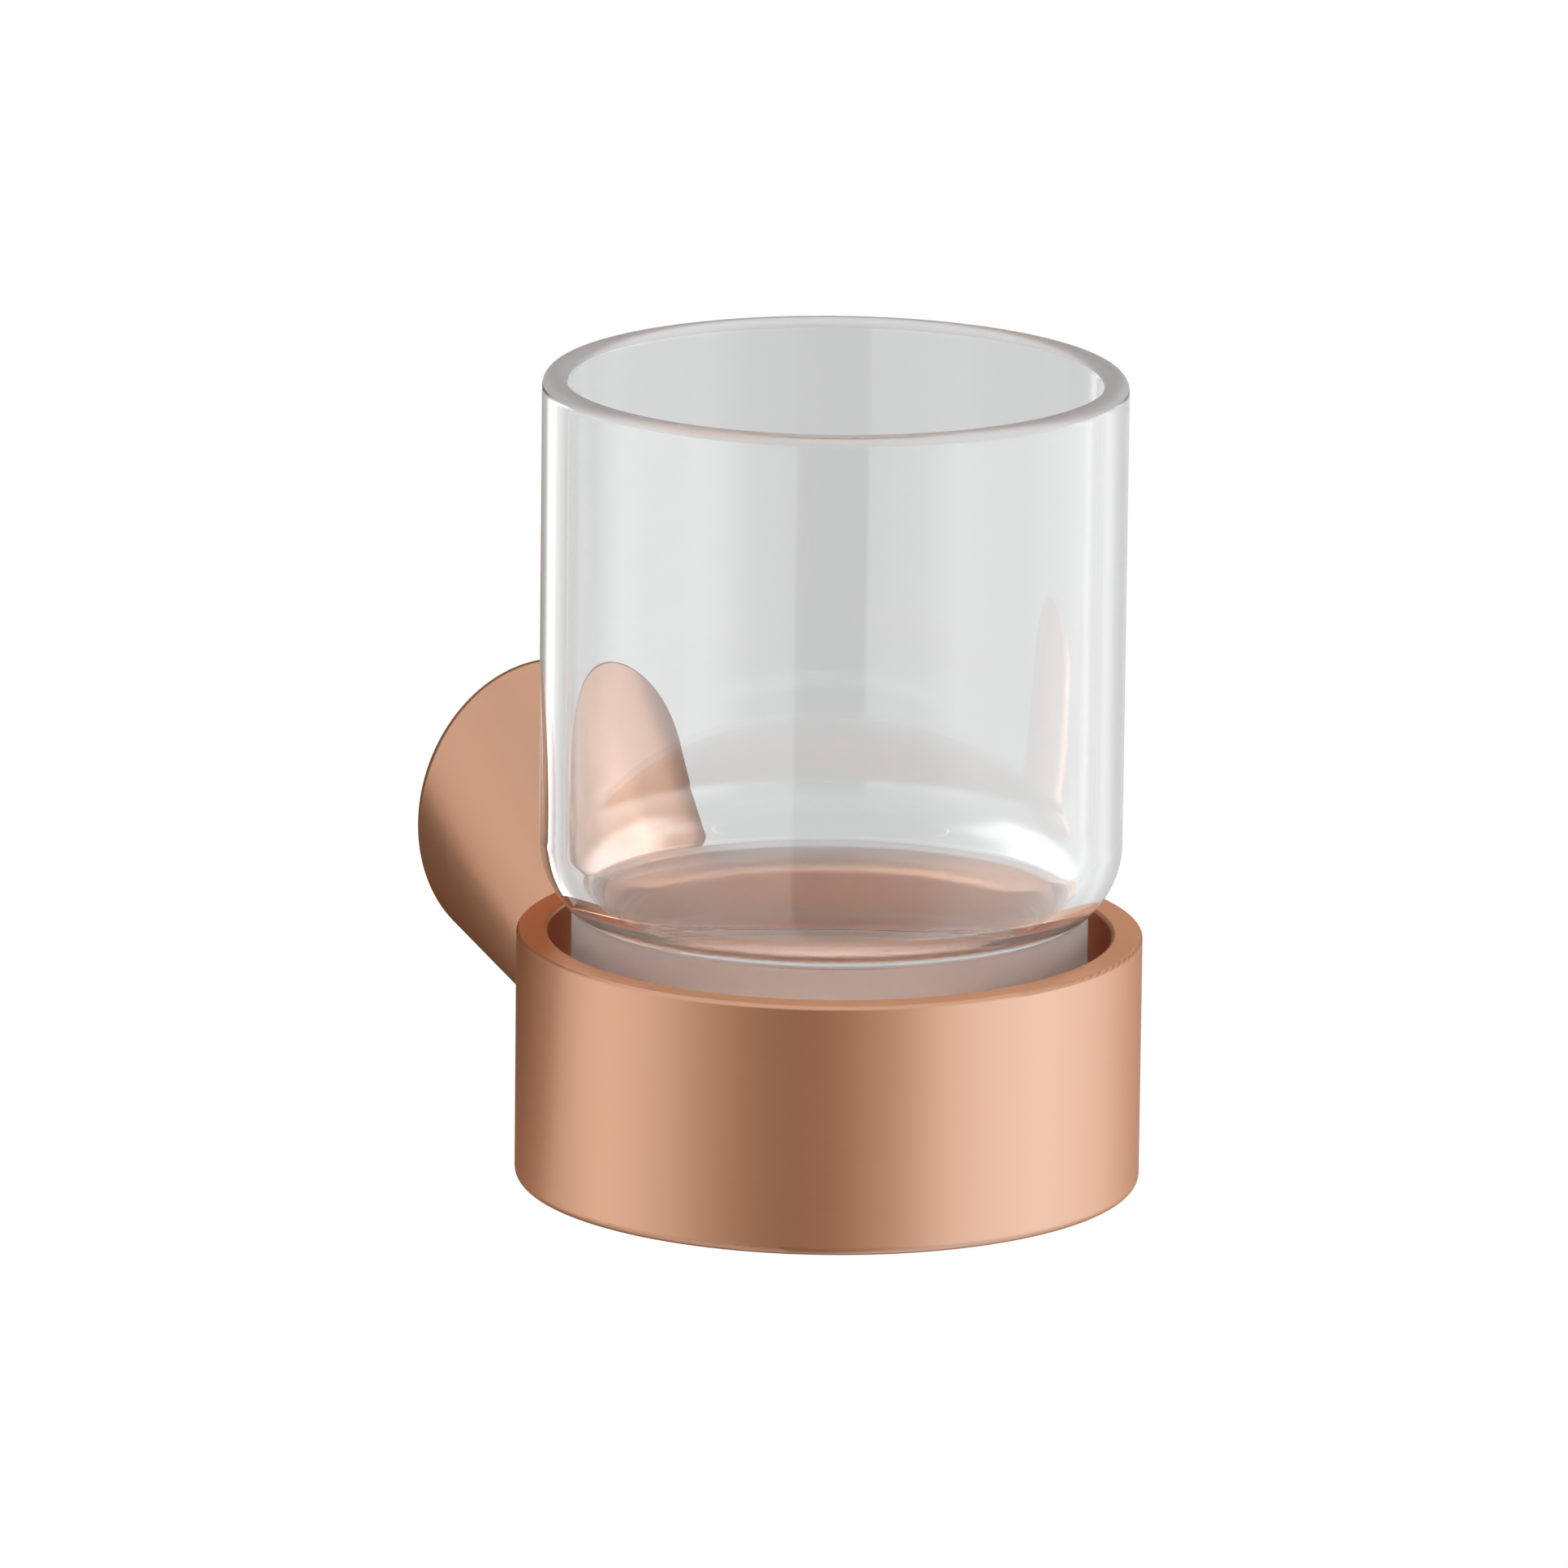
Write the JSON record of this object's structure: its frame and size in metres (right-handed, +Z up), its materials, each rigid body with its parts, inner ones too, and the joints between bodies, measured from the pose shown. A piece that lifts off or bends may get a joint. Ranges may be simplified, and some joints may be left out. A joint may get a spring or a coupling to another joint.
{
  "type": "wall tumbler holder",
  "caption": "Wall holder for a drinking glass: a brushed copper ring on a slanting tapered post carries a clear straight-sided tumbler that is drawn in to a narrower foot.",
  "frame": {"origin": "centre of the wall bracket's back face, on the wall", "axes": "+Z up, +Y into the wall, +X to the right as seen from the room"},
  "size_m": [0.08, 0.1035, 0.105],
  "materials": {
    "clear_glass": "clear, with a finely ground rim and foot",
    "brushed_copper": "finely brushed rose copper plating",
    "silicone": "matte translucent",
    "screw_steel": "plain stainless",
    "bracket_steel": "tumbled stainless"
  },
  "bodies": {
    "bracket": {"wall_bracket": "bracket_steel"},
    "holder": {"tapered_post": "brushed_copper", "cup_ring": "brushed_copper", "floor_plate": "brushed_copper", "cushion_ring": "silicone", "joint_screw": "brushed_copper", "locating_pin": "screw_steel"},
    "clamp_screw": {"set_screw": "screw_steel"},
    "tumbler": {"tumbler": "clear_glass"}
  },
  "joints": [
    {"name": "holder_release", "type": "slide", "parent": "bracket", "child": "holder", "axis": [0, -1, 0], "range_m": [0, 0.012]},
    {"name": "set_screw_travel", "type": "slide", "parent": "holder", "child": "clamp_screw", "axis": [0, 0, -1], "range_m": [0, 0.003]},
    {"name": "tumbler_lift", "type": "slide", "parent": "holder", "child": "tumbler", "axis": [0, 0, 1], "range_m": [0, 0.03]}
  ]
}
